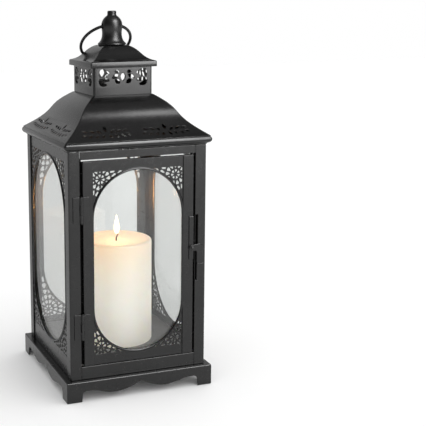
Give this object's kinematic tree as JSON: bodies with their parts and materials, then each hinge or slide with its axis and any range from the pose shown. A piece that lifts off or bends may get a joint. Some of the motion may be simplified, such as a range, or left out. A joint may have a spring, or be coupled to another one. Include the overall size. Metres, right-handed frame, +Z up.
{
  "type": "hurricane candle lantern",
  "caption": "Square black metal candle lantern with a glazed, latched door, fretted window panels, vented two-tier roof, bell finial, carry ring and a pillar candle.",
  "frame": {"origin": "centre of the plinth's underside, on the ground", "axes": "+Z up, -Y out of the door, +X towards the latch side"},
  "size_m": [0.209, 0.209, 0.51],
  "materials": {
    "black_satin": "satin black powder coat",
    "black_gloss": "semi-gloss black enamel",
    "clear_glass": "clear float glass",
    "wax": "smooth ivory candle wax",
    "cotton": "charred cotton wick",
    "zinc_steel": "zinc plated"
  },
  "bodies": {
    "frame": {"cap_roof": "black_satin", "clip_back_a_high": "black_satin", "clip_back_a_low": "black_satin", "clip_back_b_high": "black_satin", "clip_back_b_low": "black_satin", "clip_left_a_high": "black_satin", "clip_left_a_low": "black_satin", "clip_left_b_high": "black_satin", "clip_left_b_low": "black_satin", "clip_right_a_high": "black_satin", "clip_right_a_low": "black_satin", "clip_right_b_high": "black_satin", "clip_right_b_low": "black_satin", "finial": "black_gloss", "finial_screw": "zinc_steel", "finial_washer": "zinc_steel", "floor_pan": "black_satin", "glass_back": "clear_glass", "glass_left": "clear_glass", "glass_right": "clear_glass", "header_rail": "black_satin", "hinge_lower_pin": "black_satin", "hinge_lower_post_leaf": "black_satin", "hinge_upper_pin": "black_satin", "hinge_upper_post_leaf": "black_satin", "latch_keeper": "black_satin", "main_roof": "black_satin", "panel_back": "black_satin", "panel_left": "black_satin", "panel_right": "black_satin", "plinth": "black_satin", "post_back_left": "black_satin", "post_back_right": "black_satin", "post_front_left": "black_satin", "post_front_right": "black_satin", "sill_rail": "black_satin", "vent_collar": "black_satin"},
    "door": {"clip_door_a_high": "black_satin", "clip_door_a_low": "black_satin", "clip_door_b_high": "black_satin", "clip_door_b_low": "black_satin", "door_panel": "black_satin", "door_stile_hinge": "black_satin", "door_stile_latch": "black_satin", "glass_door": "clear_glass", "hinge_lower_door_leaf": "black_satin", "hinge_upper_door_leaf": "black_satin", "latch_plate": "black_satin", "latch_rivet": "black_satin"},
    "latch_hook": {"latch_hook": "black_satin"},
    "carry_ring": {"carry_ring": "black_gloss"},
    "candle": {"candle": "wax", "wick": "cotton"}
  },
  "joints": [
    {"name": "door_hinge", "type": "hinge", "parent": "frame", "child": "door", "pos_m": [-0.0799, -0.0989, 0.183], "axis": [0, 0, -1], "range_deg": [0, 115]},
    {"name": "latch_turn", "type": "hinge", "parent": "door", "child": "latch_hook", "pos_m": [0.0764, -0.0993, 0.1942], "axis": [0, -1, 0], "range_deg": [0, 90]},
    {"name": "ring_swing", "type": "hinge", "parent": "frame", "child": "carry_ring", "pos_m": [0, 0, 0.4898], "axis": [1, 0, 0], "range_deg": [0, 266]},
    {"name": "candle_lift", "type": "slide", "parent": "frame", "child": "candle", "axis": [0, 0, 1], "range_m": [0, 0.06]}
  ]
}
